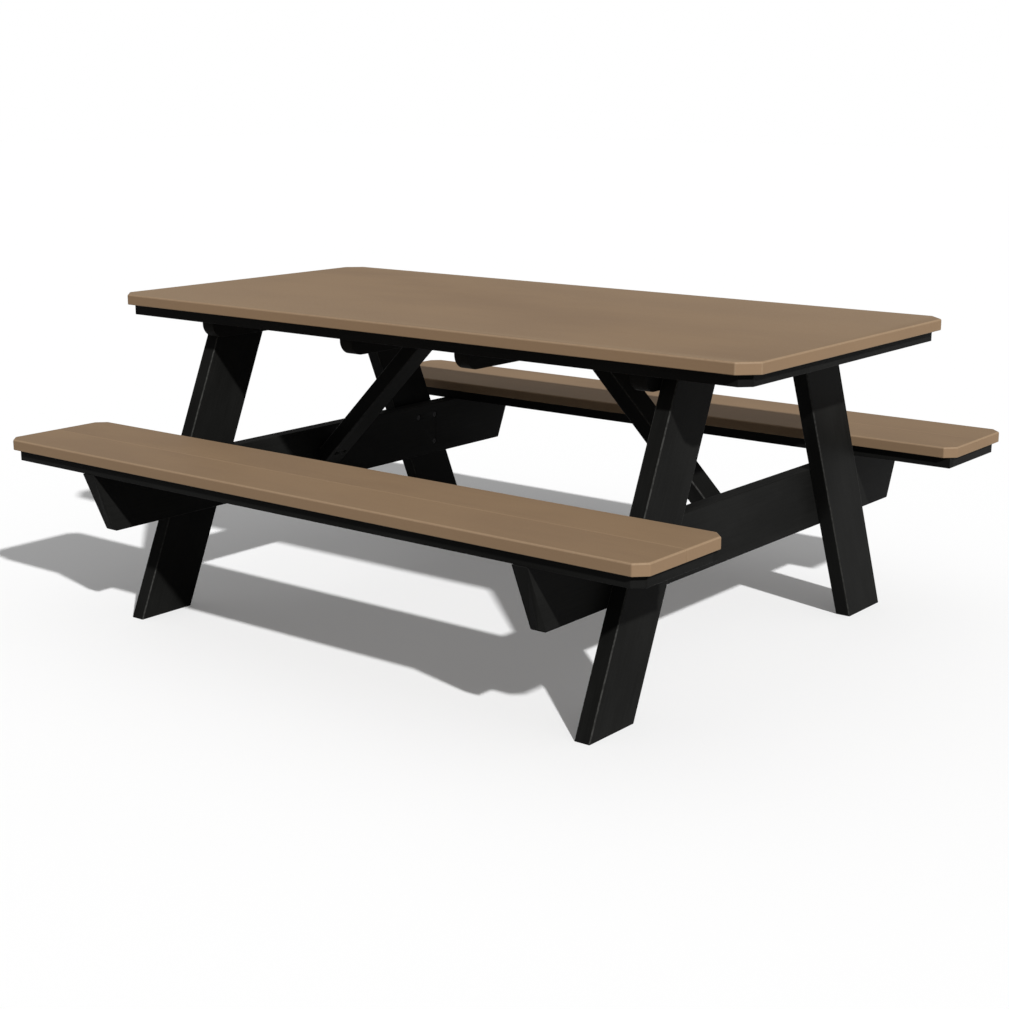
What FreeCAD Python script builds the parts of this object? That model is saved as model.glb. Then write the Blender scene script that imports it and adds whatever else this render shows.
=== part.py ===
# Six-foot picnic table of plastic lumber: a one-piece deck on four cleats, two bench seats of two
# boards each, and two A-frames with a seat beam, tied together by two diagonal braces.
# X runs along the table, Y across it, Z up; the origin is on the floor under the middle.
import FreeCAD, Part
import os
import Sketcher
from FreeCAD import Placement, Rotation, Vector

doc = FreeCAD.newDocument("PicnicTable")
sheet = doc.addObject("Spreadsheet::Sheet", "Sizes")

drivingSizes = [
    ("tableHeight", 757.0, "floor to deck surface"),
    ("deckLength", 1829.0, "deck, along X"),
    ("deckWidth", 864.0, "deck, along Y"),
    ("deckThick", 25.4, "deck and seat boards, one inch sheet and board"),
    ("deckClip", 38.0, "length along each side of the deck's clipped corners"),
    ("deckEase", 4.0, "rounding of the deck's and the seats' upper edges"),
    ("underEase", 1.5, "rounding of the lower edges, the trim strips and the cleats"),
    ("cornerRound", 5.0, "rounding of the upright edges at the clipped corners of the deck and the seats"),
    ("seamEase", 1.0, "rounding of the upper edges at the seam of a seat"),
    ("trimInset", 20.0, "deck edge to the trim strip under it"),
    ("trimHeight", 26.0, "trim strips and seat cleats"),
    ("trimThick", 19.05, "trim strips, from their outer to their inner face"),
    ("trimClip", 22.0, "length along each side of the trim's clipped corners"),
    ("plankThick", 38.1, "legs, seat beams, cleats and braces"),
    ("plankWidth", 143.5, "legs and seat beams"),
    ("plankEase", 3.0, "rounding of the long edges of the frame planks and the braces"),
    ("leanAngle", 22.9, "lean of a leg from upright, and slope of the beam ends"),
    ("frameOuter", 687.0, "table centre to the outer face of a leg"),
    ("footReach", 623.5, "table centre to the outer edge of a foot"),
    ("cleatHeight", 66.0, "cleats under the deck"),
    ("cleatRound", 33.0, "radius of a cleat's lower corners"),
    ("cleatGap", 0.8, "cleat end to the trim strip"),
    ("centreCleat", 170.0, "table centre to the middle of a centre cleat"),
    ("seatHeight", 443.0, "floor to seat surface"),
    ("seatLength", 1829.0, "seat boards, along X"),
    ("seatBoard", 143.4, "width of one seat board"),
    ("seatGap", 0.4, "seam between the two boards of a seat"),
    ("seatCentre", 644.5, "table centre to the seam of a seat"),
    ("seatClip", 24.0, "length along each side of a seat's clipped corners"),
    ("seatTrimInset", 12.5, "seat edge to the trim strip under it"),
    ("beamReach", 776.5, "table centre to the upper end of a seat beam"),
    ("seatCleatWide", 88.9, "seat cleats, along X"),
    ("braceWidth", 69.5, "brace, across the table"),
    ("braceLine", 894.0, "x plus z along a brace's lower face, which rises at 45 degrees"),
    ("frameScrewLong", 65.0, "frame screws, under the head"),
    ("frameScrewRadius", 3.5, "frame screws"),
    ("frameHeadRadius", 8.0, "frame screw heads"),
    ("frameHeadThick", 3.6, "frame screw heads"),
    ("frameSocketRadius", 3.0, "frame screw drive, to its corners"),
    ("frameSink", 4.0, "counterbores that take the frame screws' heads"),
    ("frameSinkRadius", 8.5, "counterbores that take the frame screws' heads"),
    ("frameScrewRise", 38.0, "beam screws, above and below the beam's middle"),
    ("frameScrewSide", 34.0, "frame screws, to either side of the leg's centre line"),
    ("flatScrewRadius", 2.25, "flat-head screws"),
    ("flatHeadRadius", 4.75, "flat-head screws"),
    ("flatSocketRadius", 1.7, "flat-head screw drive, to its corners"),
    ("socketDeep", 1.6, "screw drives"),
    ("screwTip", 4.0, "length of a screw's pointed tip"),
    ("screwFit", 0.1, "gap round a screw in its hole"),
    ("holeSpare", 1.0, "depth of a blind hole past the screw's tip"),
    ("shortScrewLong", 38.0, "screws through the trim strips and the seat cleats"),
    ("deckScrewLong", 58.0, "deck screws in the top cleats, and screws from a brace into its beam"),
    ("anchorScrewLong", 65.0, "screws from seat cleats into the beams and from centre cleats into the braces"),
    ("pocketRadius", 7.0, "pockets that sink the deck screws' and the brace screws' heads"),
    ("cleatPocketDeep", 22.0, "pockets in the top cleats"),
    ("deckScrewStep", 165.0, "spacing of the deck screws along a top cleat"),
    ("deckTrimStep", 280.0, "spacing of the screws in the deck's long trim strips"),
    ("deckTrimEnd", 300.0, "spacing of the screws in the deck's end trim strips"),
    ("seatTrimStep", 340.0, "spacing of the screws in the seats' long trim strips"),
    ("seatTrimEnd", 60.0, "seat seam to the screws in the seats' end trim strips"),
    ("seatScrewAlong", 32.0, "middle of a seat cleat to its screws, along X"),
    ("seatScrewAcross", 58.0, "seat seam to a seat cleat's screws"),
    ("anchorScrewSide", 80.0, "seat seam to the screws from a seat cleat into its beam"),
    ("braceScrewSide", 16.0, "middle of a brace to its screws"),
    ("braceScrewRise", 41.0, "lower corner of a brace's foot to its screws"),
    ("braceScrewGrip", 26.0, "end of a brace to the heads of its screws"),
    ("bracePocketDeep", 30.0, "pockets in a brace"),
    ("braceTopDrop", 11.5, "deck to the screws from a centre cleat into its brace"),
]
for row, (alias, size, note) in enumerate(drivingSizes, start=1):
    sheet.set(f"A{row}", note)
    sheet.set(f"B{row}", str(size))
    sheet.setAlias(f"B{row}", alias)
doc.recompute()

# Levels and faces that several pieces share, as expressions on the sheet.
underDeck = "(Sizes.tableHeight - Sizes.deckThick)"
underDeckTrim = f"({underDeck} - Sizes.trimHeight)"
underSeat = "(Sizes.seatHeight - Sizes.deckThick)"
beamTop = f"({underSeat} - Sizes.trimHeight)"
beamMiddle = f"({beamTop} - Sizes.plankWidth / 2)"
legInner = "(Sizes.frameOuter - Sizes.plankThick)"
beamInner = "(Sizes.frameOuter - 2 * Sizes.plankThick)"
beamCentre = "(Sizes.frameOuter - 1.5 * Sizes.plankThick)"
lean = "tan(Sizes.leanAngle * 1deg)"
legAcross = "(Sizes.plankWidth / cos(Sizes.leanAngle * 1deg))"
trimOuterY = "(Sizes.deckWidth / 2 - Sizes.trimInset)"
trimInnerY = f"({trimOuterY} - Sizes.trimThick)"
trimOuterX = "(Sizes.deckLength / 2 - Sizes.trimInset)"
trimInnerX = f"({trimOuterX} - Sizes.trimThick)"
cleatReach = f"({trimInnerY} - Sizes.cleatGap)"
seatHalf = "(Sizes.seatBoard + Sizes.seatGap / 2)"
seatTrimOuter = f"({seatHalf} - Sizes.seatTrimInset)"
seatTrimInner = f"({seatTrimOuter} - Sizes.trimThick)"
seatTrimOuterX = "(Sizes.seatLength / 2 - Sizes.seatTrimInset)"
seatTrimInnerX = f"({seatTrimOuterX} - Sizes.trimThick)"
centreCleatInner = "(Sizes.centreCleat - Sizes.plankThick / 2)"
centreCleatOuter = "(Sizes.centreCleat + Sizes.plankThick / 2)"
cleatMiddle = f"({underDeck} - Sizes.cleatHeight / 2)"
braceFoot = f"(Sizes.braceLine - {beamInner})"
braceScrewLow = f"({braceFoot} + Sizes.braceScrewRise)"
braceScrewHigh = f"({underDeck} - Sizes.braceTopDrop)"
flatHole = "(Sizes.flatScrewRadius + Sizes.screwFit)"
frameHole = "(Sizes.frameScrewRadius + Sizes.screwFit)"

nodes = []      # every object that is a piece, or a group of identical fasteners
bothSides = (-1, 1)
tolerance = 0.01    # for picking edges by where they lie, in mm
endName = {-1: "left", 1: "right"}
rowName = {-1: "front", 1: "back"}
boardName = {-1: "inner", 1: "outer"}


def value(expression):
    """Number that an expression on the sheet stands for."""
    return float(sheet.evalExpression(expression))


def newBody(label, place=(None, None, None)):
    """Body of one piece, with its placement bound to the sheet."""
    body = doc.addObject("PartDesign::Body", label)
    body.Label = label
    for axis, expression in zip("xyz", place):
        if expression:
            body.setExpression(f"Placement.Base.{axis}", expression)
    return body


def newSketch(body, role):
    """Empty sketch on one of the body's own origin planes."""
    sketch = body.newObject("Sketcher::SketchObject", f"{body.Name}_sketch")
    plane = next(item for item in body.Origin.OriginFeatures if item.Role == role)
    sketch.AttachmentSupport = [(plane, "")]
    sketch.MapMode = "FlatFace"
    return sketch


def pin(sketch, geometry, point, across, up):
    """Binds a point of the sketch to a pair of expressions, measured from the sketch's origin."""
    for kind, expression in (("DistanceX", across), ("DistanceY", up)):
        number = sketch.addConstraint(Sketcher.Constraint(kind, -1, 1, geometry, point, value(expression)))
        sketch.setExpression(f"Constraints[{number}]", expression)


def outline(body, role, corners):
    """Closed straight-sided sketch; each corner is a pair of expressions."""
    sketch = newSketch(body, role)
    points = [Vector(value(across), value(up), 0) for across, up in corners]
    for start, end in zip(points, points[1:] + points[:1]):
        sketch.addGeometry(Part.LineSegment(start, end), False)
    for number, corner in enumerate(corners):
        following = (number + 1) % len(corners)
        sketch.addConstraint(Sketcher.Constraint("Coincident", number, 2, following, 1))
        pin(sketch, number, 1, *corner)
    return sketch


def pad(body, sketch, thickness, reverse=False, middle=False):
    """Board of one thickness on a sketch."""
    feature = body.newObject("PartDesign::Pad", f"{body.Name}_pad")
    feature.Profile = sketch
    feature.setExpression("Length", thickness)
    feature.Reversed = reverse
    feature.Midplane = middle
    body.Tip = feature
    doc.recompute()
    return feature


def ease(body, radius, chosen, kind="Fillet", size="Radius"):
    """Rounds or chamfers the edges that the test picks."""
    base = body.Tip
    names = [f"Edge{number}" for number, edge in enumerate(base.Shape.Edges, start=1) if chosen(edge)]
    feature = body.newObject(f"PartDesign::{kind}", f"{body.Name}_ease")
    feature.Base = (base, names)
    feature.setExpression(size, radius)
    body.Tip = feature
    doc.recompute()
    return feature


def drill(body, role, centres, radius, depth, reverse, start=None):
    """Round holes from an origin plane; the volume has to fall, or the holes point the wrong way."""
    before = body.Shape.Volume
    sketch = newSketch(body, role)
    if start:
        sketch.setExpression("AttachmentOffset.Base.z", start)
    for number, (across, up) in enumerate(centres):
        middle = Vector(value(across), value(up), 0)
        sketch.addGeometry(Part.Circle(middle, Vector(0, 0, 1), value(radius)), False)
        size = sketch.addConstraint(Sketcher.Constraint("Radius", number, value(radius)))
        sketch.setExpression(f"Constraints[{size}]", radius)
        pin(sketch, number, 3, across, up)
    pocket = body.newObject("PartDesign::Pocket", f"{body.Name}_holes")
    pocket.Profile = sketch
    pocket.setExpression("Length", depth)
    pocket.Reversed = reverse
    body.Tip = pocket
    doc.recompute()
    if body.Shape.Volume >= before:
        raise RuntimeError(f"{body.Label}: the holes cut nothing")


def countersink(body, axis, level):
    """Seats for flat heads, at 45 degrees, round the flat-head holes whose mouths are at one level."""
    onLevel = atLevel(axis, level)
    ease(
        body, "Sizes.flatHeadRadius - Sizes.flatScrewRadius",
        lambda edge: isinstance(edge.Curve, Part.Circle) and onLevel(edge)
        and abs(edge.Curve.Radius - value(flatHole)) < tolerance,
        kind="Chamfer", size="Size",
    )


def frameHoles(body, centres, reverse, start=None):
    """Holes through a plank for frame screws, counterbored at the face where the heads sit."""
    drill(body, "YZ_Plane", centres, frameHole, "Sizes.plankThick", reverse, start)
    drill(body, "YZ_Plane", centres, "Sizes.frameSinkRadius", "Sizes.frameSink", reverse, start)


def atLevel(axis, expression):
    """Test for an edge that lies in a plane square to one axis of the piece."""
    def chosen(edge):
        low, high = getattr(edge.BoundBox, f"{axis}Min"), getattr(edge.BoundBox, f"{axis}Max")
        return abs(low - value(expression)) < tolerance and abs(high - value(expression)) < tolerance
    return chosen


def upright(edge):
    return edge.BoundBox.ZLength > edge.Length - tolerance


def atCorners(row, expression):
    """Test for the upright corner edges on one long side of a board."""
    atSide = atLevel("Y", signed(row, expression))
    return lambda edge: upright(edge) and atSide(edge)


def longerThan(expression):
    return lambda edge: edge.Length > value(expression)


def signed(side, expression):
    return f"{side} * {expression}"


def steps(spacing, count):
    """Places either side of the middle, evenly spaced."""
    return [f"{step} * {spacing}" for step in range(-count, count + 1)]


def relative(places, acrossStart, upStart):
    """The same places, measured from a piece's own origin."""
    return [(f"{across} - {acrossStart}", f"{up} - {upStart}") for across, up in places]


def rectangle(lowX, lowY, highX, highY):
    return [(lowX, lowY), (highX, lowY), (highX, highY), (lowX, highY)]


def legCentreAt(level):
    """Distance from the table's middle to the centre line of a leg, at one height."""
    return f"(Sizes.footReach - {legAcross} / 2 - {level} * {lean})"


# Where the screws go, for the pieces that each screw passes through and for the screws themselves.
# Frame screws: (across, up) on the back half of the table.
upperScrews = f"({beamMiddle} + Sizes.frameScrewRise)"
lowerScrew = f"({beamMiddle} - Sizes.frameScrewRise)"
beamJoint = [
    (f"({legCentreAt(upperScrews)} - Sizes.frameScrewSide)", upperScrews),
    (f"({legCentreAt(upperScrews)} + Sizes.frameScrewSide)", upperScrews),
    (legCentreAt(lowerScrew), lowerScrew),
]
cleatJoint = [
    (f"({legCentreAt(cleatMiddle)} - Sizes.frameScrewSide)", cleatMiddle),
    (f"({legCentreAt(cleatMiddle)} + Sizes.frameScrewSide)", cleatMiddle),
]
# Brace screws: across, either side of the brace's middle.
braceScrews = [signed(side, "Sizes.braceScrewSide") for side in bothSides]
# Deck screws: (along, across) from the middle of the deck.
cleatPlaces = [signed(end, middle) for end in bothSides for middle in (beamCentre, "Sizes.centreCleat")]
deckScrews = [(along, across) for along in cleatPlaces for across in steps("Sizes.deckScrewStep", 2)]
deckTrimMiddle = {
    "side": f"({trimInnerY} + Sizes.trimThick / 2)",
    "end": f"({trimInnerX} + Sizes.trimThick / 2)",
}
sideTrimScrews = steps("Sizes.deckTrimStep", 3)
endTrimScrews = steps("Sizes.deckTrimEnd", 1)
deckTrimScrews = [
    (along, signed(row, deckTrimMiddle["side"])) for row in bothSides for along in sideTrimScrews
] + [
    (signed(end, deckTrimMiddle["end"]), across) for end in bothSides for across in endTrimScrews
]
# Seat screws: (along, across) from the middle of a seat.
seatCleatPlaces = {"left": signed(-1, beamCentre), "middle": "0", "right": beamCentre}
seatCleatScrews = [
    (signed(side, "Sizes.seatScrewAlong"), signed(row, "Sizes.seatScrewAcross"))
    for side in bothSides for row in bothSides
]
anchorScrews = [("0", signed(side, "Sizes.anchorScrewSide")) for side in bothSides]
seatTrimMiddle = {
    "side": f"({seatTrimInner} + Sizes.trimThick / 2)",
    "end": f"({seatTrimInnerX} + Sizes.trimThick / 2)",
}
seatSideScrews = steps("Sizes.seatTrimStep", 2)
seatEndScrews = [signed(row, "Sizes.seatTrimEnd") for row in bothSides]
seatTrimScrews = [
    (along, signed(row, seatTrimMiddle["side"])) for row in bothSides for along in seatSideScrews
] + [
    (signed(end, seatTrimMiddle["end"]), across) for end in bothSides for across in seatEndScrews
]


def blindDepth(screwLong, grip):
    """Depth of the hole that takes what a screw's grip leaves of its length."""
    return f"{screwLong} - {grip} + Sizes.holeSpare"


def tableTop():
    """One-piece deck, with blind holes in its underside for the screws of the cleats and the trim."""
    body = newBody("table_top", (None, None, underDeck))
    halfX, halfY = "Sizes.deckLength / 2", "Sizes.deckWidth / 2"
    board = rectangle(f"-{halfX}", f"-{halfY}", halfX, halfY)
    pad(body, outline(body, "XY_Plane", board), "Sizes.deckThick")
    ease(body, "Sizes.deckClip", upright, kind="Chamfer", size="Size")
    ease(body, "Sizes.cornerRound", upright)
    ease(body, "Sizes.deckEase", atLevel("Z", "Sizes.deckThick"))
    ease(body, "Sizes.underEase", atLevel("Z", "0"))
    cleatGrip = "(Sizes.cleatHeight - Sizes.cleatPocketDeep)"
    drill(body, "XY_Plane", deckScrews, flatHole, blindDepth("Sizes.deckScrewLong", cleatGrip), True)
    trimDepth = blindDepth("Sizes.shortScrewLong", "Sizes.trimHeight")
    drill(body, "XY_Plane", deckTrimScrews, flatHole, trimDepth, True)
    nodes.append(body)


def trimStrip(label, place, corners, screws, clipped=None):
    """Strip under the edge of the deck or of a seat, screwed up into it from below."""
    body = newBody(label, place)
    pad(body, outline(body, "XY_Plane", corners), "Sizes.trimHeight")
    if clipped:
        ease(body, "Sizes.trimClip - Sizes.trimThick", clipped, kind="Chamfer", size="Size")
    ease(body, "Sizes.underEase", atLevel("Z", "0"))
    drill(body, "XY_Plane", screws, flatHole, "Sizes.trimHeight", True)
    countersink(body, "Z", "0")
    nodes.append(body)


def mitredStrip(row, halfX):
    """Outline of a long strip cut at 45 degrees through both ends, along the trim's clipped corners."""
    outerEnd = f"({halfX} - Sizes.trimClip)"
    innerEnd = f"({outerEnd} + Sizes.trimThick)"
    inner, outer = signed(-row, "Sizes.trimThick / 2"), signed(row, "Sizes.trimThick / 2")
    return [(f"-{innerEnd}", inner), (innerEnd, inner), (outerEnd, outer), (f"-{outerEnd}", outer)]


def squareStrip(halfX, halfY):
    return rectangle(f"-{halfX}", f"-{halfY}", halfX, halfY)


def atEndCorners(end, rows, halfY):
    """Test for the upright edges of an end strip that its clipped corners take off."""
    atOuter = atLevel("X", signed(end, "Sizes.trimThick / 2"))
    corners = [atCorners(row, halfY) for row in rows]
    return lambda edge: atOuter(edge) and any(atCorner(edge) for atCorner in corners)


def deckTrims():
    """Long strips under the deck's long edges, and end strips that butt between them."""
    for row in bothSides:
        place = (None, signed(row, deckTrimMiddle["side"]), underDeckTrim)
        screws = [(along, "0") for along in sideTrimScrews]
        trimStrip(f"top_trim_{rowName[row]}", place, mitredStrip(row, trimOuterX), screws)
    for end in bothSides:
        place = (signed(end, deckTrimMiddle["end"]), None, underDeckTrim)
        screws = [("0", across) for across in endTrimScrews]
        strip = squareStrip("(Sizes.trimThick / 2)", trimInnerY)
        clipped = atEndCorners(end, bothSides, trimInnerY)
        trimStrip(f"top_trim_{endName[end]}", place, strip, screws, clipped)


def topCleat(label, along):
    """Rail across the deck's underside, rounded at its lower corners, with sunk deck screws."""
    body = newBody(label, (along, None, f"{underDeck} - Sizes.cleatHeight"))
    side = rectangle(f"-{cleatReach}", "0", cleatReach, "Sizes.cleatHeight")
    pad(body, outline(body, "YZ_Plane", side), "Sizes.plankThick", middle=True)
    isLower = atLevel("Z", "0")
    ease(body, "Sizes.cleatRound", lambda edge: isLower(edge) and edge.Length < value("Sizes.cleatHeight"))
    isFlank = [atLevel("X", signed(side, "Sizes.plankThick / 2")) for side in bothSides]
    isUpper = atLevel("Z", "Sizes.cleatHeight")
    ease(body, "Sizes.underEase", lambda edge: any(test(edge) for test in isFlank) and not isUpper(edge))
    places = [("0", across) for across in steps("Sizes.deckScrewStep", 2)]
    drill(body, "XY_Plane", places, flatHole, "Sizes.cleatHeight", True)
    drill(body, "XY_Plane", places, "Sizes.pocketRadius", "Sizes.cleatPocketDeep", True)
    countersink(body, "Z", "Sizes.cleatPocketDeep")
    return body


def topCleats():
    """Outer cleats, which the legs are screwed to, and centre cleats, which take the braces."""
    bottom = f"({underDeck} - Sizes.cleatHeight)"
    for end in bothSides:
        outer = topCleat(f"top_cleat_{endName[end]}", signed(end, beamCentre))
        joint = [(signed(row, across), up) for row in bothSides for across, up in cleatJoint]
        face = signed(end, "Sizes.plankThick / -2")
        frameHoles(outer, relative(joint, "0", bottom), end > 0, face)
        nodes.append(outer)
        centre = topCleat(f"centre_cleat_{endName[end]}", signed(end, "Sizes.centreCleat"))
        joint = [(across, braceScrewHigh) for across in braceScrews]
        drill(centre, "YZ_Plane", relative(joint, "0", bottom), flatHole, "Sizes.plankThick", end > 0, face)
        countersink(centre, "X", face)
        nodes.append(centre)


def legs():
    """Leaning planks, cut level at the floor and at the deck, outside the beams and the cleats."""
    for end in bothSides:
        for row in bothSides:
            body = newBody(f"leg_{endName[end]}_{rowName[row]}", (signed(end, legInner), None, None))
            shift = f"{underDeck} * {lean}"
            inner = f"(Sizes.footReach - {legAcross})"
            plank = [
                (signed(row, inner), "0"), (signed(row, "Sizes.footReach"), "0"),
                (signed(row, f"(Sizes.footReach - {shift})"), underDeck),
                (signed(row, f"({inner} - {shift})"), underDeck),
            ]
            pad(body, outline(body, "YZ_Plane", plank), "Sizes.plankThick", reverse=end < 0)
            ease(body, "Sizes.plankEase", longerThan(underDeck))
            joints = [(signed(row, across), up) for across, up in beamJoint + cleatJoint]
            depth = blindDepth("Sizes.frameScrewLong", "(Sizes.plankThick - Sizes.frameSink)")
            drill(body, "YZ_Plane", joints, frameHole, depth, end > 0)
            nodes.append(body)


def seatBeams():
    """Beams that carry the seats, with ends sloped like the legs."""
    for end in bothSides:
        bottom = f"({beamTop} - Sizes.plankWidth)"
        body = newBody(f"seat_beam_{endName[end]}", (signed(end, beamInner), None, bottom))
        lowReach = f"(Sizes.beamReach - Sizes.plankWidth * {lean})"
        plank = [
            (f"-{lowReach}", "0"), (lowReach, "0"),
            ("Sizes.beamReach", "Sizes.plankWidth"), ("-Sizes.beamReach", "Sizes.plankWidth"),
        ]
        pad(body, outline(body, "YZ_Plane", plank), "Sizes.plankThick", reverse=end < 0)
        ease(body, "Sizes.plankEase", longerThan("Sizes.beamReach"))
        joints = [(signed(row, across), up) for row in bothSides for across, up in beamJoint]
        frameHoles(body, relative(joints, "0", bottom), end > 0)
        feet = [(across, braceScrewLow) for across in braceScrews]
        depth = blindDepth("Sizes.deckScrewLong", "Sizes.braceScrewGrip")
        drill(body, "YZ_Plane", relative(feet, "0", bottom), flatHole, depth, end > 0)
        anchors = [
            (signed(end, "Sizes.plankThick / 2"), f"({signed(row, 'Sizes.seatCentre')} + {across})")
            for row in bothSides for _, across in anchorScrews
        ]
        depth = blindDepth("Sizes.anchorScrewLong", "Sizes.deckThick")
        drill(body, "XY_Plane", anchors, flatHole, depth, False, "Sizes.plankWidth")
        nodes.append(body)


def braces():
    """Diagonals at 45 degrees, from a beam's inner face up to a centre cleat and the deck."""
    for end in bothSides:
        body = newBody(f"brace_{endName[end]}", (signed(end, beamInner), None, braceFoot))
        rise = "(Sizes.plankThick * sqrt(2))"
        run = f"({beamInner} - {centreCleatOuter})"
        top = f"({underDeck} - {braceFoot})"
        side = [("0", "0"), (run, run), (run, top), (f"({top} - {rise})", top), ("0", rise)]
        plank = [(signed(-end, along), up) for along, up in side]
        pad(body, outline(body, "XZ_Plane", plank), "Sizes.braceWidth", middle=True)
        ease(body, "Sizes.plankEase", longerThan(run))
        feet = [(across, "Sizes.braceScrewRise") for across in braceScrews]
        head = signed(-end, "Sizes.braceScrewGrip")
        drill(body, "YZ_Plane", feet, flatHole, "Sizes.braceScrewGrip", end < 0)
        drill(body, "YZ_Plane", feet, "Sizes.pocketRadius", "Sizes.bracePocketDeep", end < 0, head)
        countersink(body, "X", head)
        tops = [(across, f"({top} - Sizes.braceTopDrop)") for across in braceScrews]
        depth = blindDepth("Sizes.anchorScrewLong", "Sizes.plankThick")
        drill(body, "YZ_Plane", tops, flatHole, depth, end > 0, signed(-end, run))
        nodes.append(body)


def seats():
    """Two seats, each of two boards side by side, with trim under their edges and three cleats."""
    for row in bothSides:
        middle = signed(row, "Sizes.seatCentre")
        for side in bothSides:
            seatBoard(row, side, middle)
            reach = f"{middle} + {signed(side, seatTrimMiddle['side'])}"
            screws = [(along, "0") for along in seatSideScrews]
            square = squareStrip(seatTrimOuterX, "(Sizes.trimThick / 2)")
            strip = mitredStrip(row, seatTrimOuterX) if side == row else square
            label = f"seat_trim_{rowName[row]}_{boardName[side * row]}"
            trimStrip(label, (None, reach, beamTop), strip, screws)
        for end in bothSides:
            place = (signed(end, seatTrimMiddle["end"]), middle, beamTop)
            screws = [("0", across) for across in seatEndScrews]
            strip = squareStrip("(Sizes.trimThick / 2)", seatTrimInner)
            clipped = atEndCorners(end, [row], seatTrimInner)
            trimStrip(f"seat_trim_{rowName[row]}_{endName[end]}", place, strip, screws, clipped)
        for name, along in seatCleatPlaces.items():
            seatCleat(f"seat_cleat_{rowName[row]}_{name}", (along, middle, beamTop), name != "middle")


def seatBoard(row, side, middle):
    """One board of a seat: square at the seam, clipped at its two outer corners."""
    body = newBody(f"seat_board_{rowName[row]}_{boardName[side * row]}", (None, middle, underSeat))
    seam, edge = signed(side, "Sizes.seatGap / 2"), signed(side, seatHalf)
    halfX = "Sizes.seatLength / 2"
    pad(body, outline(body, "XY_Plane", rectangle(f"-{halfX}", seam, halfX, edge)), "Sizes.deckThick")
    atTop, atSeam = atLevel("Z", "Sizes.deckThick"), atLevel("Y", seam)
    ease(body, "Sizes.seatClip", atCorners(side, seatHalf), kind="Chamfer", size="Size")
    ease(body, "Sizes.cornerRound", lambda edge: upright(edge) and not atSeam(edge))
    ease(body, "Sizes.deckEase", lambda edge: atTop(edge) and not atSeam(edge))
    ease(body, "Sizes.seamEase", lambda edge: atTop(edge) and atSeam(edge))
    ease(body, "Sizes.underEase", atLevel("Z", "0"))
    trims = [place for place in seatTrimScrews if value(place[1]) * side > 0]
    cleats = [
        (f"({along} + {offset})", across) for along in seatCleatPlaces.values()
        for offset, across in seatCleatScrews if value(across) * side > 0
    ]
    depth = blindDepth("Sizes.shortScrewLong", "Sizes.trimHeight")
    drill(body, "XY_Plane", trims + cleats, flatHole, depth, True)
    nodes.append(body)


def seatCleat(label, place, onBeam):
    """Flat batten under both boards of a seat; over a beam, two screws go down into it first."""
    body = newBody(label, place)
    halfX, halfY = "Sizes.seatCleatWide / 2", f"({seatTrimInner} - Sizes.cleatGap)"
    block = rectangle(f"-{halfX}", f"-{halfY}", halfX, halfY)
    pad(body, outline(body, "XY_Plane", block), "Sizes.trimHeight")
    ease(body, "Sizes.underEase", atLevel("Z", "0"))
    drill(body, "XY_Plane", seatCleatScrews, flatHole, "Sizes.trimHeight", True)
    countersink(body, "Z", "0")
    if onBeam:
        drill(body, "XY_Plane", anchorScrews, flatHole, "Sizes.trimHeight", True)
        countersink(body, "Z", "Sizes.trimHeight")
    nodes.append(body)


def turnedScrew(label, length, headProfile, shankRadius, socketRadius, top):
    """Screw turned upright, with its seat at the origin, its tip along +Z and a hexagonal drive."""
    body = newBody(label)
    half = headProfile + [(shankRadius, f"({length} - Sizes.screwTip)"), ("0", length)]
    turned = body.newObject("PartDesign::Revolution", f"{label}_turned")
    turned.Profile = outline(body, "XZ_Plane", half)
    turned.ReferenceAxis = (turned.Profile[0], ["V_Axis"])
    body.Tip = turned
    doc.recompute()
    before = body.Shape.Volume
    hexagon = newSketch(body, "XY_Plane")
    hexagon.setExpression("AttachmentOffset.Base.z", top)
    first = Vector(value(socketRadius), 0, 0)
    corners = [Rotation(Vector(0, 0, 1), 60 * turn).multVec(first) for turn in range(6)]
    for start, end in zip(corners, corners[1:] + corners[:1]):
        hexagon.addGeometry(Part.LineSegment(start, end), False)
    for side in range(6):
        hexagon.addConstraint(Sketcher.Constraint("Coincident", side, 2, (side + 1) % 6, 1))
        size = hexagon.addConstraint(Sketcher.Constraint("Distance", -1, 1, side, 1, value(socketRadius)))
        hexagon.setExpression(f"Constraints[{size}]", socketRadius)
    pocket = body.newObject("PartDesign::Pocket", f"{label}_drive")
    pocket.Profile = hexagon
    pocket.setExpression("Length", "Sizes.socketDeep")
    pocket.Reversed = True
    body.Tip = pocket
    doc.recompute()
    if body.Shape.Volume >= before:
        raise RuntimeError(f"{label}: the drive socket cut nothing")
    return body


def flatScrew(label, length):
    taper = "(Sizes.flatHeadRadius - Sizes.flatScrewRadius)"
    head = [("0", "0"), ("Sizes.flatHeadRadius", "0"), ("Sizes.flatScrewRadius", taper)]
    return turnedScrew(label, length, head, "Sizes.flatScrewRadius", "Sizes.flatSocketRadius", "0")


def frameScrew(label):
    """Screw with a broad flat-bottomed head, rounded towards its rim."""
    top, radius = "-Sizes.frameHeadThick", "Sizes.frameHeadRadius"
    head = [
        ("0", top), (f"({radius} - Sizes.frameHeadThick * 0.6)", top),
        (radius, f"{top} * 0.4"), (radius, "0"), ("Sizes.frameScrewRadius", "0"),
    ]
    return turnedScrew(
        label, "Sizes.frameScrewLong", head, "Sizes.frameScrewRadius", "Sizes.frameSocketRadius", top,
    )


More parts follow.
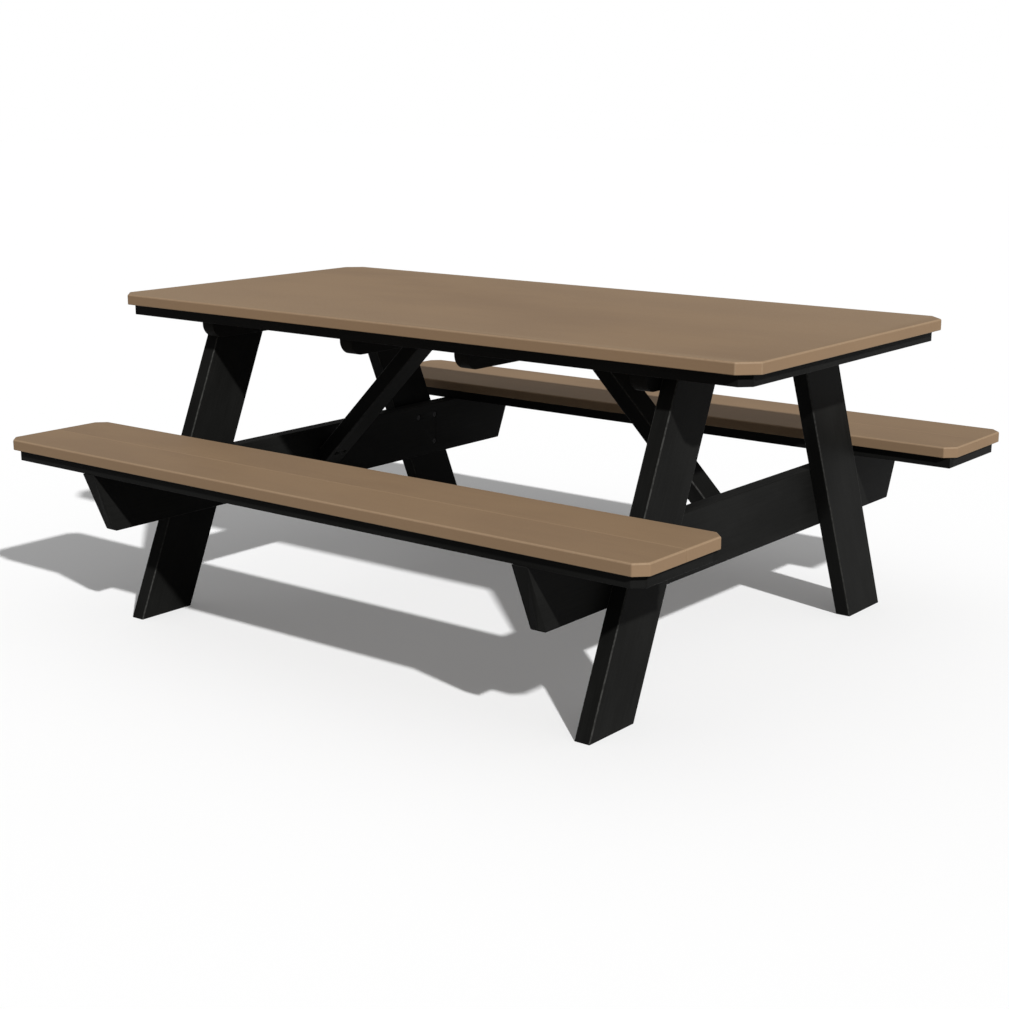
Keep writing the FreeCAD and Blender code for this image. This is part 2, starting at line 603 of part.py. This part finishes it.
def group(label, screw, copies):
    """Node of identical screws: each copy is a place and the way that its tip points."""
    links = []
    for number, (place, pointing) in enumerate(copies, start=1):
        link = doc.addObject("App::Link", f"{label}_{number}")
        link.LinkedObject = screw
        link.Placement = Placement(Vector(), Rotation(Vector(0, 0, 1), pointing))
        for axis, expression in zip("xyz", place):
            link.setExpression(f"Placement.Base.{axis}", expression)
        links.append(link)
    compound = doc.addObject("Part::Compound", label)
    compound.Label = label
    compound.Links = links
    nodes.append(compound)


def fasteners():
    """Black-coated screws, all driven from inside or from below; flat heads sit in 45 degree seats."""
    up, down = Vector(0, 0, 1), Vector(0, 0, -1)
    outward = {end: Vector(end, 0, 0) for end in bothSides}
    short = flatScrew("short_screw", "Sizes.shortScrewLong")
    deck = flatScrew("deck_screw", "Sizes.deckScrewLong")
    anchor = flatScrew("anchor_screw", "Sizes.anchorScrewLong")
    frame = frameScrew("frame_screw")
    headSeat = f"({beamInner} + Sizes.frameSink)"
    for label, joint in (("leg_beam_screws", beamJoint), ("leg_cleat_screws", cleatJoint)):
        group(label, frame, [
            ((signed(end, headSeat), signed(row, across), height), outward[end])
            for end in bothSides for row in bothSides for across, height in joint
        ])
    group("brace_beam_screws", deck, [
        ((signed(end, f"({beamInner} - Sizes.braceScrewGrip)"), across, braceScrewLow), outward[end])
        for end in bothSides for across in braceScrews
    ])
    group("brace_cleat_screws", anchor, [
        ((signed(end, centreCleatInner), across, braceScrewHigh), outward[end])
        for end in bothSides for across in braceScrews
    ])
    pocketTop = f"({underDeck} - Sizes.cleatHeight + Sizes.cleatPocketDeep)"
    group("top_screws", deck, [((along, across, pocketTop), up) for along, across in deckScrews])
    group("top_trim_screws", short, [
        ((along, across, underDeckTrim), up) for along, across in deckTrimScrews
    ])
    seatMiddles = [signed(row, "Sizes.seatCentre") for row in bothSides]
    group("seat_trim_screws", short, [
        ((along, f"{middle} + {across}", beamTop), up)
        for middle in seatMiddles for along, across in seatTrimScrews
    ])
    group("seat_cleat_screws", short, [
        ((f"{cleat} + {along}", f"{middle} + {across}", beamTop), up)
        for middle in seatMiddles for cleat in seatCleatPlaces.values() for along, across in seatCleatScrews
    ])
    group("cleat_beam_screws", anchor, [
        ((signed(end, beamCentre), f"{middle} + {across}", underSeat), down)
        for end in bothSides for middle in seatMiddles for _, across in anchorScrews
    ])


tableTop()
deckTrims()
topCleats()
legs()
seatBeams()
braces()
seats()
fasteners()

doc.recompute()
failed = [item.Label for item in doc.Objects if "Invalid" in item.State or "Error" in item.State]
failed += [node.Label for node in nodes if node.Shape.isNull() or not node.Shape.isValid()]
if failed:
    raise RuntimeError("failed: " + ", ".join(failed))
os.makedirs("parts", exist_ok=True)
for node in nodes:
    node.Shape.exportStep(f"parts/{node.Label}.step")
    print(node.Label, "solids", len(node.Shape.Solids), "volume", round(node.Shape.Volume))
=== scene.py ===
# Picnic table of plastic lumber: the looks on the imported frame.
# Metres throughout: X runs along the table, Y across it, Z up, with the origin on the floor.
import math

import bmesh
import bpy
import numpy as np
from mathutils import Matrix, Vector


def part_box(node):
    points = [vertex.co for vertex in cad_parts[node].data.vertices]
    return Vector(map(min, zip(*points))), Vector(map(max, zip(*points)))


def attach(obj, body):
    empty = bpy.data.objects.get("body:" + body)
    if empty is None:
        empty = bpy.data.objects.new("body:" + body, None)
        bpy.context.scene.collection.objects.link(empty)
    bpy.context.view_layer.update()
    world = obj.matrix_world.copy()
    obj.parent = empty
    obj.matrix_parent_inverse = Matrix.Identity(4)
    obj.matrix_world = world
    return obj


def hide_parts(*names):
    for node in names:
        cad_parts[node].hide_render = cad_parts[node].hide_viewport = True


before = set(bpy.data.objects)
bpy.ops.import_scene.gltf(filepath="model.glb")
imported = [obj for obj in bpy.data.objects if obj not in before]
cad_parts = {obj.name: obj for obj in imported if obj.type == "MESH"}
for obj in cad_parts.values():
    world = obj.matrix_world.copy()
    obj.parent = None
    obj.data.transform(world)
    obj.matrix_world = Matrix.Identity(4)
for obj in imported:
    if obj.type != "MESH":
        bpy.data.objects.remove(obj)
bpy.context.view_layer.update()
scene = bpy.context.scene
mm = 0.001
print("frame loaded:", len(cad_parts), "nodes")


# Small helpers.

def toLinear(hexColour):  # sRGB hex to linear RGBA
    srgb = np.array([int(hexColour[i:i + 2], 16) for i in (1, 3, 5)]) / 255
    linear = np.where(srgb <= 0.04045, srgb / 12.92, ((srgb + 0.055) / 1.055) ** 2.4)
    return (*linear.tolist(), 1.0)


def addNode(tree, kind, settings={}, sockets={}):  # one node with its settings, values and links
    node = tree.nodes.new("ShaderNode" + kind)
    for name, setting in settings.items():
        setattr(node, name, setting)
    for name, source in sockets.items():
        if isinstance(source, bpy.types.NodeSocket):
            tree.links.new(source, node.inputs[name])
        else:
            node.inputs[name].default_value = source
    return node


def perMetre(sizeInMm):  # noise scale whose features are about this size
    return 1 / (sizeInMm * mm)


# Camera, light and floor.

view = dict(place=(2.5592, -3.2591, 1.2682), tilt=76.428, turn=38.353, lens=62.225, sensor=36.0)

studio = dict(
    sunFrom=(0.716, -0.412, 0.564),  # towards the lamp
    sunStrength=3.85,
    sunSize=1.6,                     # degrees across, for the softness of the shadows
    sky="#FFFFFF",
    skyStrength=0.25,
    fillStrength=0.40,               # from straight above, with no shadow
    floorColour="#F8F8F8",
    bounceColour="#727272",          # the floor as its light scatters off the table
    floorSize=60.0,
    floorRoughness=0.9,
    clipEnd=200,                     # farthest distance the camera sees
)


def makeCamera():
    data = bpy.data.cameras.new("camera")
    data.lens, data.sensor_width = view["lens"], view["sensor"]
    data.clip_end = studio["clipEnd"]
    camera = bpy.data.objects.new("camera", data)
    camera.location = view["place"]
    camera.rotation_euler = (math.radians(view["tilt"]), 0, math.radians(view["turn"]))
    scene.collection.objects.link(camera)
    scene.camera = camera


def makeLight():
    lamp = bpy.data.lights.new("sun", "SUN")
    lamp.energy = studio["sunStrength"]
    lamp.angle = math.radians(studio["sunSize"])
    sun = bpy.data.objects.new("sun", lamp)
    x, y, z = studio["sunFrom"]
    sun.rotation_euler = (math.atan2(math.hypot(x, y), z), 0, math.atan2(y, x) + math.pi / 2)
    scene.collection.objects.link(sun)
    fill = bpy.data.lights.new("fill", "SUN")
    fill.energy = studio["fillStrength"]
    fill.use_shadow = False
    scene.collection.objects.link(bpy.data.objects.new("fill", fill))
    world = bpy.data.worlds.new("studio")
    scene.world = world
    world.use_nodes = True
    tree = world.node_tree
    tree.nodes.clear()
    seen = addNode(tree, "LightPath")
    sky = addNode(tree, "Background", {}, {
        "Color": toLinear(studio["sky"]), "Strength": studio["skyStrength"]})
    backdrop = addNode(tree, "Background", {}, {"Color": toLinear(studio["sky"]), "Strength": 1.0})
    mix = addNode(tree, "MixShader", {}, {
        0: seen.outputs["Is Camera Ray"], 1: sky.outputs[0], 2: backdrop.outputs[0]})
    addNode(tree, "OutputWorld", {}, {"Surface": mix.outputs[0]})
    scene.view_settings.view_transform = "Standard"


def makeFloor():
    half = studio["floorSize"] / 2
    mesh = bpy.data.meshes.new("floor")
    corners = [(-half, -half, 0), (half, -half, 0), (half, half, 0), (-half, half, 0)]
    mesh.from_pydata(corners, [], [(0, 1, 2, 3)])
    floor = bpy.data.objects.new("floor", mesh)
    scene.collection.objects.link(floor)
    material = bpy.data.materials.new("studio_floor")
    material.use_nodes = True
    tree = material.node_tree
    shader = tree.nodes["Principled BSDF"]
    shader.inputs["Roughness"].default_value = studio["floorRoughness"]
    shader.inputs["Specular IOR Level"].default_value = 0.0
    scattered = addNode(tree, "LightPath").outputs["Is Diffuse Ray"]
    shade = addNode(tree, "Mix", {"data_type": "RGBA"}, {
        0: scattered, 6: toLinear(studio["floorColour"]), 7: toLinear(studio["bounceColour"])})
    tree.links.new(shade.outputs[2], shader.inputs["Base Color"])
    mesh.materials.append(material)


makeCamera()
makeLight()
makeFloor()
print("camera, light and floor made")


# Materials.
# Every piece carries three attributes for them: grain, a place in the plank with its first
# number along the plank; edge, 1 on rounded edges, where the lumber gets a painted highlight; and cut, 1
# where a saw or router has been.

# In each lumber the colour after cutTint is a painted highlight laid along the eased edges.
tanLumber = dict(
    light="#8B7359", dark="#846D55", fleck="#988167", cutTint="#8E7459", edgeHighlight="#927B62",
    cloudMm=170, streakMm=5, fleckMm=2.4, skinMm=1.6, roughness=0.55, ior=1.54, sheen=0.2,
)
blackLumber = dict(
    light="#1B1B1A", dark="#131312", fleck="#222221", cutTint="#1A1A19", edgeHighlight="#3A3A38",
    cloudMm=120, streakMm=4, fleckMm=3.0, skinMm=1.8, roughness=0.48, ior=1.54, sheen=0.02,
)
lumberPattern = dict(
    cloudDraw=2.2, streakDraw=30, fleckDraw=2.5, sawDraw=12,  # how far each is drawn out along the plank
    sawMm=2.2, streakTint=0.45, tintFrom=0.50, tintTo=0.95,
    fleckFrom=0.62, fleckTo=0.78, fleckShare=0.35, sawnShare=0.6,
    highlightPatchFrom=0.40, highlightPatchTo=0.60, highlightPatchLeast=0.45,                  # painted highlight along an eased edge, laid in patches
    skinFrom=0.25, skinTo=0.75, smoother=0.07, rougher=0.09, sawnRougher=0.12,
    streakHeight=0.8, bumpStrength=0.35, bumpMm=0.25,
)
coatedScrew = dict(
    colour="#141415", bare="#3A3A39", metallic=0.6, roughness=0.55, smoother=0.06, rougher=0.1,
    coatMm=0.6, thinFrom=0.62, thinTo=0.8, thinShare=0.5, patchFrom=0.3, patchTo=0.7,
    bumpStrength=0.2, bumpMm=0.03,
)


def mixColour(tree, factor, first, second, blend="MIX"):
    mix = addNode(tree, "Mix", {"data_type": "RGBA", "blend_type": blend}, {
        0: factor, 6: first, 7: second})
    return mix.outputs[2]


def stretched(tree, grain, along):  # the grain's coordinates, drawn out along the plank
    return addNode(tree, "Mapping", {}, {"Vector": grain, "Scale": (1 / along, 1, 1)}).outputs[0]


def ranged(tree, source, low, high, toLow=0.0, toHigh=1.0):
    return addNode(tree, "MapRange", {"interpolation_type": "SMOOTHSTEP"}, {
        "Value": source, "From Min": low, "From Max": high,
        "To Min": toLow, "To Max": toHigh}).outputs[0]


def lumber(name, look):
    # High-density polyethylene lumber, extruded through a cooled die: the pigment drifts in faint
    # clouds and long streaks, the skin has a fine matt grain, and sawn or routed faces are rougher.
    pattern = lumberPattern
    material = bpy.data.materials.new(name)
    material.use_nodes = True
    tree = material.node_tree
    shader = tree.nodes["Principled BSDF"]
    shader.inputs["IOR"].default_value = look["ior"]
    shader.inputs["Specular IOR Level"].default_value = look["sheen"]
    grain = addNode(tree, "Attribute", {"attribute_name": "grain"}).outputs["Vector"]
    edge = addNode(tree, "Attribute", {"attribute_name": "edge"}).outputs["Fac"]
    cut = addNode(tree, "Attribute", {"attribute_name": "cut"}).outputs["Fac"]
    clouds = addNode(tree, "TexNoise", {}, {
        "Vector": stretched(tree, grain, pattern["cloudDraw"]), "Scale": perMetre(look["cloudMm"]),
        "Detail": 3.0}).outputs["Fac"]
    streaks = addNode(tree, "TexNoise", {}, {
        "Vector": stretched(tree, grain, pattern["streakDraw"]), "Scale": perMetre(look["streakMm"]),
        "Detail": 4.0, "Roughness": 0.6}).outputs["Fac"]
    flecks = addNode(tree, "TexNoise", {}, {
        "Vector": stretched(tree, grain, pattern["fleckDraw"]), "Scale": perMetre(look["fleckMm"]),
        "Detail": 2.0}).outputs["Fac"]
    skin = addNode(tree, "TexNoise", {}, {
        "Vector": grain, "Scale": perMetre(look["skinMm"]),
        "Detail": 3.0, "Roughness": 0.65}).outputs["Fac"]
    tint = addNode(tree, "Math", {"operation": "MULTIPLY_ADD"}, {
        0: streaks, 1: pattern["streakTint"], 2: clouds}).outputs[0]
    drift = ranged(tree, tint, pattern["tintFrom"], pattern["tintTo"])
    colour = mixColour(tree, drift, toLinear(look["dark"]), toLinear(look["light"]))
    specks = ranged(tree, flecks, pattern["fleckFrom"], pattern["fleckTo"], 0.0, pattern["fleckShare"])
    colour = mixColour(tree, specks, colour, toLinear(look["fleck"]))
    sawn = addNode(tree, "Math", {"operation": "MULTIPLY"}, {0: cut, 1: pattern["sawnShare"]}).outputs[0]
    colour = mixColour(tree, sawn, colour, toLinear(look["cutTint"]))
    # Painted highlight: the eased edges are lightened in patches, standing in for light caught on the
    # roundings.
    highlightPatches = ranged(tree, flecks, pattern["highlightPatchFrom"], pattern["highlightPatchTo"], pattern["highlightPatchLeast"], 1.0)
    paintedHighlight = addNode(tree, "Math", {"operation": "MULTIPLY"}, {0: edge, 1: highlightPatches}).outputs[0]
    colour = mixColour(tree, paintedHighlight, colour, toLinear(look["edgeHighlight"]))
    tree.links.new(colour, shader.inputs["Base Color"])
    low, high = look["roughness"] - pattern["smoother"], look["roughness"] + pattern["rougher"]
    rough = ranged(tree, skin, pattern["skinFrom"], pattern["skinTo"], low, high)
    rough = addNode(tree, "Math", {"operation": "MULTIPLY_ADD"}, {
        0: cut, 1: pattern["sawnRougher"], 2: rough}).outputs[0]
    tree.links.new(rough, shader.inputs["Roughness"])
    saw = addNode(tree, "TexNoise", {}, {
        "Vector": stretched(tree, grain, pattern["sawDraw"]), "Scale": perMetre(pattern["sawMm"]),
        "Detail": 2.0}).outputs["Fac"]
    sawHeight = addNode(tree, "Math", {"operation": "MULTIPLY"}, {0: saw, 1: cut}).outputs[0]
    height = addNode(tree, "Math", {"operation": "ADD"}, {0: skin, 1: sawHeight}).outputs[0]
    height = addNode(tree, "Math", {"operation": "MULTIPLY_ADD"}, {
        0: streaks, 1: pattern["streakHeight"], 2: height}).outputs[0]
    bump = addNode(tree, "Bump", {}, {
        "Strength": pattern["bumpStrength"], "Distance": pattern["bumpMm"] * mm, "Height": height})
    tree.links.new(bump.outputs[0], shader.inputs["Normal"])
    return material


def screwCoating():
    # Stainless steel with a thin black oxide and wax coat, a little brighter where it is thin.
    material = bpy.data.materials.new("black_oxide_stainless")
    material.use_nodes = True
    tree = material.node_tree
    shader = tree.nodes["Principled BSDF"]
    shader.inputs["Metallic"].default_value = coatedScrew["metallic"]
    place = addNode(tree, "TexCoord").outputs["Object"]
    coat = addNode(tree, "TexNoise", {}, {
        "Vector": place, "Scale": perMetre(coatedScrew["coatMm"]), "Detail": 2.0}).outputs["Fac"]
    thin = ranged(
        tree, coat, coatedScrew["thinFrom"], coatedScrew["thinTo"], 0.0, coatedScrew["thinShare"])
    colour = mixColour(tree, thin, toLinear(coatedScrew["colour"]), toLinear(coatedScrew["bare"]))
    tree.links.new(colour, shader.inputs["Base Color"])
    low = coatedScrew["roughness"] - coatedScrew["smoother"]
    high = coatedScrew["roughness"] + coatedScrew["rougher"]
    rough = ranged(tree, coat, coatedScrew["patchFrom"], coatedScrew["patchTo"], low, high)
    tree.links.new(rough, shader.inputs["Roughness"])
    bump = addNode(tree, "Bump", {}, {
        "Strength": coatedScrew["bumpStrength"], "Distance": coatedScrew["bumpMm"] * mm, "Height": coat})
    tree.links.new(bump.outputs[0], shader.inputs["Normal"])
    return material


tan = lumber("tan_hdpe_lumber", tanLumber)
black = lumber("black_hdpe_lumber", blackLumber)
coated = screwCoating()
print("materials made")


# Boards and planks.

def roundedOutline(corners, radius, inset, turns=6, support=0.7 * mm):
    # Outline of a convex polygon with rounded corners, drawn in by inset: at each corner
    # P(a) = core + (radius - inset) (cos a, sin a), where core is the corner moved in by radius
    # from both sides and a turns from one side's normal to the next. A support point follows each
    # end of the arc along the straight, to keep the flat sides' shading flat.
    corners = np.array(corners, float)
    before = corners - np.roll(corners, 1, 0)
    before /= np.linalg.norm(before, axis=1)[:, None]
    after = np.roll(before, -1, 0)
    normalIn = np.stack([before[:, 1], -before[:, 0]], 1)
    normalOut = np.stack([after[:, 1], -after[:, 0]], 1)
    facing = (normalIn * normalOut).sum(1)
    core = corners - radius * (normalIn + normalOut) / (1 + facing)[:, None]
    start = np.arctan2(normalIn[:, 1], normalIn[:, 0])
    turn = np.arccos(np.clip(facing, -1, 1))
    angle = start[:, None] + turn[:, None] * np.linspace(0, 1, turns + 1)
    arc = core[:, None] + (radius - inset) * np.stack([np.cos(angle), np.sin(angle)], 2)
    lead = arc[:, :1] - support * before[:, None]
    trail = arc[:, -1:] + support * after[:, None]
    ring = np.concatenate([lead, arc, trail], 1)
    bend = np.ones(ring.shape[:2])
    bend[:, [0, 1, -2, -1]] = 0
    return ring.reshape(-1, 2), bend.ravel()


def easedStations(low, high, lowEase, highEase, turns=6, support=0.7 * mm):
    # Stations up a board whose edges are quarter circles: inset = e (1 - cos a) and height =
    # e (1 - sin a) inside each face, for a from 0 on the side to 90 degrees on the face. Each row
    # is (inset, height, 1 on a rounding, 1 on a side).
    a = np.linspace(math.pi / 2, 0, turns + 1)
    rounding = np.r_[0, np.ones(turns - 1), 0]
    side = np.linspace(0, 1, turns + 1) > 0.7
    bottom = np.stack([lowEase * (1 - np.cos(a)), low + lowEase * (1 - np.sin(a)), rounding, side], 1)
    top = np.stack([highEase * (1 - np.cos(a)), high - highEase * (1 - np.sin(a)), rounding, side], 1)
    return np.concatenate([
        [[lowEase + support, low, 0, 0]], bottom, [[0, low + lowEase + support, 0, 1]],
        [[0, high - highEase - support, 0, 1]], top[::-1], [[highEase + support, high, 0, 0]]])


def board(name, corners, radius, stations, place, basis, material, cutOn, seed):
    # Closed surface P(k, h) = place(outline k drawn in by the station's inset, the station's
    # height), with a face over each end. basis holds the plank's own axes, its length first.
    rings = [roundedOutline(corners, radius, inset) for inset in stations[:, 0]]
    flat = np.stack([ring for ring, _ in rings])
    bend = rings[0][1]
    rows, count = flat.shape[:2]
    heights = np.repeat(stations[:, 1:2], count, 1)
    points = place(flat[..., 0], flat[..., 1], heights).reshape(-1, 3)
    index = np.arange(rows * count).reshape(rows, count)
    follow = np.roll(index, -1, 1)
    quads = np.stack([index[:-1], follow[:-1], follow[1:], index[1:]], 2).reshape(-1, 4)
    faces = quads.tolist() + [index[0][::-1].tolist(), index[-1].tolist()]
    mesh = bpy.data.meshes.new(name)
    mesh.from_pydata(points.tolist(), [], faces)
    if meshVolume(mesh) < 0:
        mesh.flip_normals()
    mesh.shade_smooth()
    # edge marks the roundings, where the material paints a highlight.
    edge = np.maximum(stations[:, 2:3], bend[None, :]).ravel()
    side = np.repeat(stations[:, 3], count)
    cut = {"sides": side, "ends": 1 - side, "none": side * 0}[cutOn]
    dress(mesh, points, edge, cut, basis, seed, "POINT")
    adopt(name, mesh, material)


def meshVolume(mesh):  # sum of the signed tetrahedra from the origin to each triangle
    mesh.calc_loop_triangles()
    corners = np.zeros(len(mesh.vertices) * 3)
    mesh.vertices.foreach_get("co", corners)
    index = np.zeros(len(mesh.loop_triangles) * 3, int)
    mesh.loop_triangles.foreach_get("vertices", index)
    a, b, c = corners.reshape(-1, 3)[index.reshape(-1, 3)].transpose(1, 0, 2)
    return (a * np.cross(b, c)).sum() / 6


def dress(mesh, points, edge, cut, basis, seed, domain):  # the attributes that the materials read
    grain = mesh.attributes.new("grain", "FLOAT_VECTOR", "POINT")
    grain.data.foreach_set("vector", (points @ np.array(basis, float).T + seed * 1.7).ravel())
    for name, numbers in (("edge", edge), ("cut", cut)):
        attribute = mesh.attributes.new(name, "FLOAT", domain)
        attribute.data.foreach_set("value", np.asarray(numbers, float))


def adopt(name, mesh, material):  # the new piece stands for the CAD node of its name
    mesh.materials.append(material)
    piece = bpy.data.objects.new(name + "_piece", mesh)
    scene.collection.objects.link(piece)
    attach(piece, "root")
    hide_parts(name)
    return piece


# A piece's own axes: along it, across it, and through its thickness.
alongX = [(1, 0, 0), (0, 1, 0), (0, 0, 1)]
alongY = [(0, 1, 0), (1, 0, 0), (0, 0, 1)]
onEdge = [(0, 1, 0), (0, 0, 1), (1, 0, 0)]


deck = dict(clip=38 * mm, ease=4 * mm, lowEase=1.5 * mm, cornerRadius=5.4 * mm)


def makeDeck():
    low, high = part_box("table_top")
    clip = deck["clip"]
    corners = [
        (low.x + clip, low.y), (high.x - clip, low.y), (high.x, low.y + clip), (high.x, high.y - clip),
        (high.x - clip, high.y), (low.x + clip, high.y), (low.x, high.y - clip), (low.x, low.y + clip)]
    stations = easedStations(low.z, high.z, deck["lowEase"], deck["ease"])
    board("table_top", corners, deck["cornerRadius"], stations, lambda x, y, z: np.stack([x, y, z], 2),
          alongX, tan, "sides", 1)


plank = dict(ease=3 * mm, sawnEase=0.8 * mm, lean=math.radians(22.9), width=143.5 * mm)


def makeLegs():
    # A leg is its level section, a rounded rectangle, carried straight up its lean.
    slope = math.tan(plank["lean"])
    across = plank["width"] / math.cos(plank["lean"])
    names = [name for name in sorted(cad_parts) if name.startswith("leg_") and "screws" not in name]
    for number, name in enumerate(names):
        low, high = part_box(name)
        row = 1 if low.y > 0 else -1
        foot = max((low.y, high.y), key=abs)
        inner, outer = sorted((foot, foot - row * across))
        corners = [(low.x, inner), (high.x, inner), (high.x, outer), (low.x, outer)]
        stations = easedStations(low.z, high.z, plank["sawnEase"], plank["sawnEase"])
        up = (0, -row * math.sin(plank["lean"]), math.cos(plank["lean"]))
        basis = [up, (1, 0, 0), np.cross(up, (1, 0, 0))]
        board(name, corners, plank["ease"], stations,
              lambda x, y, z: np.stack([x, y - row * slope * z, z], 2),
              basis, black, "ends", 10 + number)


copied = dict(
    weldMm=0.01, sharpDegrees=35,   # corners sharper than this stay crisp
    endFacing=0.5, sideFacing=0.7,  # how squarely a face must look along the plank, or up, to count
    easeFrom=0.1, easeTo=0.99,
)


def smoothCopy(name, basis, material, seed, cutOn="ends", paintedHighlight=False):
    # Welded copy of a CAD piece with its roundings shaded smooth and its flats kept flat. A face is
    # sawn where it looks along the plank (or, on a board, out from its sides), and is an eased edge
    # where it looks partly along the plank's thickness.
    shape = bmesh.new()
    shape.from_mesh(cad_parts[name].data)
    bmesh.ops.remove_doubles(shape, verts=shape.verts, dist=copied["weldMm"] * mm)
    mesh = bpy.data.meshes.new(name)
    shape.to_mesh(mesh)
    shape.free()
    mesh.shade_smooth()
    mesh.set_sharp_from_angle(angle=math.radians(copied["sharpDegrees"]))
    points = np.zeros(len(mesh.vertices) * 3)
    mesh.vertices.foreach_get("co", points)
    normals = np.zeros(len(mesh.polygons) * 3)
    mesh.polygons.foreach_get("normal", normals)
    along, _, thick = np.abs(normals.reshape(-1, 3) @ np.array(basis, float).T).T
    cut = along > copied["endFacing"] if cutOn == "ends" else thick < copied["sideFacing"]
    # Eased faces get the painted highlight only where it is asked for.
    edge = (thick > copied["easeFrom"]) & (thick < copied["easeTo"]) & paintedHighlight
    dress(mesh, points.reshape(-1, 3), edge, cut, basis, seed, "FACE")
    piece = adopt(name, mesh, material)
    weighted = piece.modifiers.new("flat faces", "WEIGHTED_NORMAL")
    weighted.keep_sharp = True


def makeSeats():
    for number, name in enumerate(n for n in sorted(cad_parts) if n.startswith("seat_board")):
        smoothCopy(name, alongX, tan, 2 + number, "sides", paintedHighlight=True)


def makeSmallLumber():
    done = ("table_top", "seat_board", "leg_")
    rest = [n for n in sorted(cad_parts) if not n.startswith(done) and "screws" not in n]
    for number, name in enumerate(rest):
        low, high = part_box(name)
        if name.startswith("brace"):
            side = 1 if low.x > 0 else -1
            up = (-side * math.sqrt(0.5), 0, math.sqrt(0.5))
            basis = [up, (0, 1, 0), np.cross(up, (0, 1, 0))]
        elif name.startswith(("seat_beam", "top_cleat", "centre_cleat")):
            basis = onEdge
        else:
            basis = alongX if high.x - low.x > high.y - low.y else alongY
        smoothCopy(name, basis, black, 30 + number, paintedHighlight=name.startswith("brace"))


def finishScrews():
    for name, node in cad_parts.items():
        if "screws" in name:
            for materialSlot in node.material_slots:
                materialSlot.material = coated


makeDeck()
makeSeats()
makeLegs()
makeSmallLumber()
finishScrews()
print("lumber and screws made")
